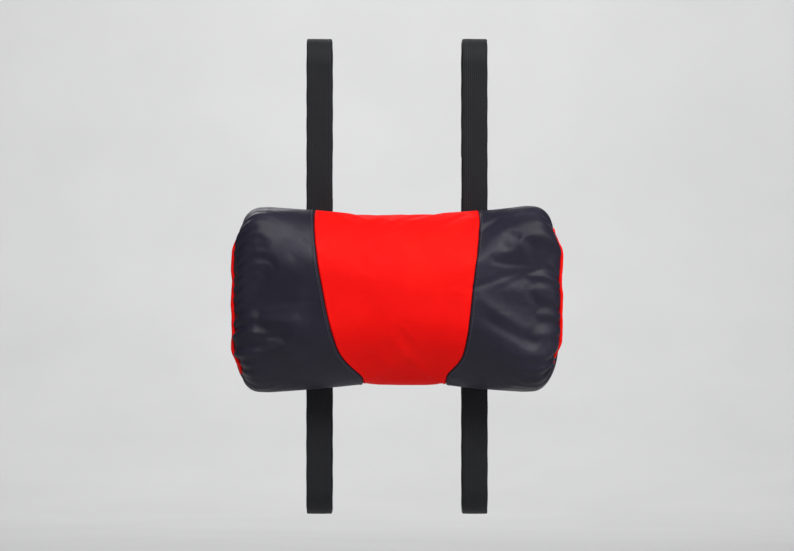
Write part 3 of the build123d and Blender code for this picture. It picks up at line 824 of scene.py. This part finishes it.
def ribbon(path, x, width=STRAP_W, thick=STRAP_T, ribs=True, wave=0.0, sag=None):
    """A band with rounded selvedges along a YZ path. wave ripples its edges a little, as webbing does."""
    p = np.asarray(path)
    t = np.gradient(p, axis=0)
    t /= np.linalg.norm(t, axis=1, keepdims=True) + 1e-12
    n = np.c_[-t[:, 1], t[:, 0]]
    prof = []
    m = 22
    for i in range(m + 1):
        u = -1 + 2 * i / m
        edge = max(0.0, (abs(u) - 0.955) / 0.045)
        prof.append((u * width / 2, thick / 2 * math.sqrt(max(0.0, 1 - edge ** 2 * 0.85)) * (1 + (0.05 * math.cos(u * 11 * math.pi) if ribs else 0))))
    ring = [(a, b) for a, b in prof] + [(a, -b) for a, b in prof[::-1]]
    verts = []
    s = np.r_[0, np.cumsum(np.linalg.norm(np.diff(p, axis=0), axis=1))]
    for i in range(len(p)):
        for a, b in ring:
            k = 1 + wave * 0.010 * math.sin(s[i] * 210 + (1.7 if a > 0 else 0)) * abs(a) / (width / 2)
            lift = wave * 0.00010 * math.sin(s[i] * 95 + a * 160)
            q = p[i] + n[i] * (b + lift)
            verts.append((x + a * k, q[0], q[1]))
    L = len(ring)
    faces = grid_faces(len(p), L, 0, True)
    faces.append(tuple(range(L))[::-1])
    faces.append(tuple((len(p) - 1) * L + k for k in range(L)))
    return verts, faces


FRONT_Y = -STRAP_T / 2
UP = (0, 1, 0)
for side, word in ((-1, "left"), (1, "right")):
    x = side * STRAP_X
    # upper strap: sewn end on the back, up, over the backrest's rim, down behind it
    p = route([(FRONT_Y, ANCHOR), (FRONT_Y, TOP_Z), (IN_Y, TOP_Z), (IN_Y, ELASTIC_TOP)], [BEND_R, BEND_R])
    o = make("strap_upper_%s_webbing" % word, *ribbon(p, x, wave=1.0), M_WEB, "cushion", "webbing")
    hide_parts("strap_upper_" + word)
    # elastic, which takes up the plug's travel
    ey = IN_Y + STRAP_T + 0.00005
    p = route([(ey, ELASTIC_TOP + 0.022), (ey, PLUG_BAR_Z + 0.026)], [])
    o = make("strap_elastic_%s_band" % word, *ribbon(p, x, STRAP_W - 0.0006, STRAP_T + 0.0001, wave=0.6), M_ELA, "cushion", "elastic")
    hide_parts("strap_elastic_" + word)
    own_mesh(o)
    # loop round the plug's bar
    p = route([(IN_Y, PLUG_BAR_Z + 0.040), (IN_Y, PLUG_BAR_Z - LOOP_R), (OUT_Y, PLUG_BAR_Z - LOOP_R), (OUT_Y, PLUG_BAR_Z + 0.0245)], [LOOP_R - 0.00001] * 2, 0.0012)
    o = make("plug_loop_%s_band" % word, *ribbon(p, x, wave=0.4), M_ELA, "plug_" + word, "elastic")
    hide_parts("plug_loop_" + word)
    # lower strap: sewn end, down, under, up behind, round the socket's bar
    p = route([(FRONT_Y, -ANCHOR), (FRONT_Y, BOT_Z), (OUT_Y, BOT_Z), (OUT_Y, SOCK_BAR_Z + LOOP_R), (IN_Y, SOCK_BAR_Z + LOOP_R), (IN_Y, SOCK_BAR_Z - 0.010)],
              [BEND_R, BEND_R, LOOP_R - 0.00001, LOOP_R - 0.00001], 0.0020)
    o = make("strap_lower_%s_webbing" % word, *ribbon(p, x, wave=1.0), M_WEB, "cushion", "webbing")
    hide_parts("strap_lower_" + word)
    # return strand, which shortens as the adjuster slides up
    p = route([(IN_Y, SOCK_BAR_Z - 0.01002), (IN_Y, GLIDE_Z + 0.022)], [])
    o = make("strap_return_%s_webbing" % word, *ribbon(p, x, wave=0.6), M_WEB, "cushion", "webbing")
    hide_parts("strap_return_" + word)
    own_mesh(o)
    turn = 0.00165
    p = route([(IN_Y, GLIDE_Z + 0.02198), (IN_Y, GLIDE_Z - 0.0049), (IN_Y + 2 * turn, GLIDE_Z - 0.0049), (IN_Y + 2 * turn, GLIDE_Z + 0.019)], [turn - 0.00001] * 2, 0.0012)
    o = make("glide_loop_%s_webbing" % word, *ribbon(p, x, wave=0.3), M_WEB, "glide_" + word, "webbing")
    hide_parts("glide_loop_" + word)

    # stitching: box with a cross on each sewn-down end, bar tacks elsewhere
    parts = []
    for k in (1, -1):
        z0, z1 = k * (ANCHOR + 0.003), k * (ANCHOR + 0.024)
        w = STRAP_W / 2 - 0.0028
        y = 0.0
        box = [(x - w, y, z0), (x + w, y, z0), (x + w, y, z1), (x - w, y, z1), (x - w, y, z0)]
        for a, b in zip(box, box[1:]):
            parts += stitches([a, b], UP, 0.0026, 0.0020, 0.00028, 0.00005)
        parts += stitches([box[0], box[2]], UP, 0.0026, 0.0020, 0.00028, 0.00005)
        parts += stitches([box[1], box[3]], UP, 0.0026, 0.0020, 0.00028, 0.00005)
    ob = make("anchor_stitching_" + word, *merge(parts), M_THREAD, "cushion", "webbing")

    def tack(y, z, rows, half=STRAP_W / 2 - 0.0035, out=1):
        res = []
        for i in range(rows):
            zz = z + (i - (rows - 1) / 2) * 0.0009
            n = 22
            pts = [(x - half + 2 * half * q / n, y + out * 0.00022, zz + (0.00030 if q % 2 else -0.00030)) for q in range(n + 1)]
            res.append(tube(pts, 0.00028, 5))
        return res
    make("elastic_seam_" + word, *merge(tack(ey + STRAP_T / 2, ELASTIC_TOP + 0.017, 3) + tack(ey + STRAP_T / 2, ELASTIC_TOP + 0.004, 3)), M_THREAD, "cushion", "elastic")
    make("plug_loop_tack_" + word, *merge(tack(OUT_Y + STRAP_T / 2, PLUG_BAR_Z + 0.0205, 3)), M_THREAD, "plug_" + word, "elastic")
    make("glide_loop_tack_" + word, *merge(tack(IN_Y + 2 * turn + STRAP_T / 2, GLIDE_Z + 0.0172, 2)), M_THREAD, "glide_" + word, "webbing")

# CAD nodes that stay: moulded plastic and metal
for name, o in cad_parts.items():
    mat = (M_PLASTIC if name.startswith(("buckle", "triglide", "latch")) else M_METAL if name in ("zipper_slider", "zipper_pull", "zipper_stops")
           else M_TAPE if name.startswith("zipper_tape") else None)
    if mat is not None:
        if o.material_slots:
            for s in o.material_slots:
                s.material = mat
        else:
            o.data.materials.append(mat)

# =====================================================================================================
# stage, light and camera
# =====================================================================================================
def stage_material():
    k = N("pale_floor")
    k.link(k.ramp(k.noise(3.0, 3.0), [(0.3, (0.60, 0.60, 0.60)), (0.7, (0.63, 0.63, 0.63))]), k.b.inputs["Base Color"])
    k.set(Roughness=0.9)
    return k.m


# floor that curves up into a far wall
prof = [(-16.0, 0.0), (-3.0, 0.0), (5.0, 0.0)] + [(5.0 + 2.0 * math.sin(a), 2.0 - 2.0 * math.cos(a)) for a in np.linspace(0.08, math.pi / 2, 18)] + [(7.0, 6.0)]
FLOOR_Z = -0.42
verts = [(X, y, z + FLOOR_Z) for y, z in prof for X in (-16.0, 16.0)]
me = bpy.data.meshes.new("backdrop")
me.from_pydata(verts, [], [(2 * i, 2 * i + 1, 2 * i + 3, 2 * i + 2) for i in range(len(prof) - 1)])
me.polygons.foreach_set("use_smooth", [True] * len(me.polygons))
back = bpy.data.objects.new("backdrop", me)
scene.collection.objects.link(back)
me.materials.append(stage_material())


def area(name, at, aim, size, power, color=(1, 1, 1)):
    d = bpy.data.lights.new(name, "AREA")
    d.energy, d.shape, d.size, d.size_y, d.color = power, "RECTANGLE", size[0], size[1], color
    o = bpy.data.objects.new(name, d)
    scene.collection.objects.link(o)
    o.location = at
    o.rotation_euler = (Vector(aim) - Vector(at)).to_track_quat("-Z", "Y").to_euler()
    return o


area("top", (0.25, -0.55, 1.60), (0.05, -0.06, 0.05), (1.2, 0.5), 13, (1.0, 0.97, 0.93))
area("key", (0.60, -1.75, 1.35), (0, -0.05, 0.0), (1.2, 0.8), 33, (1.0, 0.985, 0.96))
area("fill_left", (-1.7, -1.5, 0.35), (0, 0, 0), (1.0, 1.4), 2.5, (0.93, 0.96, 1.0))
area("fill_right", (1.7, -1.2, 0.5), (0, 0, 0), (1.0, 1.4), 7.5, (0.93, 0.96, 1.0))
area("wall", (0.0, 4.2, 3.6), (0, 7.0, 0.25), (1.6, 0.8), 150)
area("rear", (-0.9, 2.7, 1.9), (0, 0.0, 0.0), (1.4, 0.9), 20)
world = bpy.data.worlds.new("studio")
scene.world = world
world.use_nodes = True
world.node_tree.nodes["Background"].inputs[0].default_value = (0.92, 0.94, 1.0, 1)
world.node_tree.nodes["Background"].inputs[1].default_value = 0.16
scene.view_settings.view_transform = "Standard"
scene.view_settings.look = "None"

cam = bpy.data.cameras.new("camera")
cam.sensor_width = 36
cam.lens = 178
cam.clip_end = 30
co = bpy.data.objects.new("camera", cam)
scene.collection.objects.link(co)
co.location = (0.0, -3.99, -0.062)
co.rotation_euler = (Vector((0, 0, 0.025)) - co.location).to_track_quat("-Z", "Y").to_euler()
scene.camera = co
